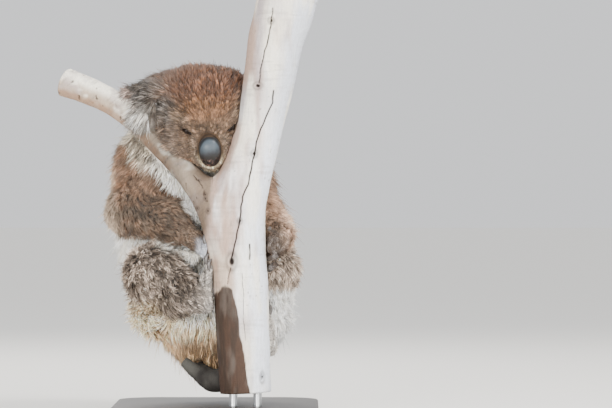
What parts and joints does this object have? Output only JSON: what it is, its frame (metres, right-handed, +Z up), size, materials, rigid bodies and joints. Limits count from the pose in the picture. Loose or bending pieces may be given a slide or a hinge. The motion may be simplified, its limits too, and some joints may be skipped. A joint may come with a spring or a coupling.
{
  "type": "life-size koala model asleep on a forked branch",
  "caption": "Sleeping koala sitting upright against a forked gum-tree trunk that it hugs, life size, on a flat stand.",
  "frame": {"origin": "centre of the stand's underside, on the floor", "axes": "+Z up; the animal faces -Y, towards the viewer, and its own right side is on -X; the trunk stands in front of it"},
  "size_m": [0.3717, 0.3316, 0.6136],
  "materials": {
    "coat": "dense soft fur in rusty brown, grey and cream",
    "nose": "bare grained leather with a soft sheen",
    "eye": "wet dark brown",
    "claw": "polished dark horn",
    "bark": "smooth pale gum bark with cracks and a bare brown patch",
    "dark_bark": "dead weathered wood",
    "board": "dark satin lacquer",
    "rod": "brushed"
  },
  "bodies": {
    "root": {"stand_rod_right": "rod", "stand_rod_left": "rod", "stand_base": "board", "perch_trunk": "bark", "perch_branch": "bark", "perch_seat": "dark_bark", "perch_snag": "dark_bark", "claw_hand_right_1": "claw", "claw_hand_right_2": "claw", "claw_hand_right_3": "claw", "claw_hand_right_4": "claw", "claw_hand_right_5": "claw", "claw_foot_right_2": "claw", "claw_foot_right_3": "claw", "claw_foot_right_4": "claw", "claw_foot_right_5": "claw", "claw_hand_left_1": "claw", "claw_hand_left_2": "claw", "claw_hand_left_3": "claw", "claw_hand_left_4": "claw", "claw_hand_left_5": "claw", "claw_foot_left_2": "claw", "claw_foot_left_3": "claw", "claw_foot_left_4": "claw", "claw_foot_left_5": "claw", "eye_right": "eye", "eye_left": "eye", "nose": "nose", "head": "coat", "torso": "coat", "flank_fold": "coat", "thigh_right": "coat", "upper_arm_right": "coat", "shin_right": "coat", "forearm_right": "coat", "ear_right": "coat", "thigh_left": "coat", "upper_arm_left": "coat", "shin_left": "coat", "forearm_left": "coat", "ear_left": "coat", "neck": "coat", "hand_right": "coat", "foot_right": "coat", "hand_left": "coat", "foot_left": "coat"}
  },
  "joints": []
}
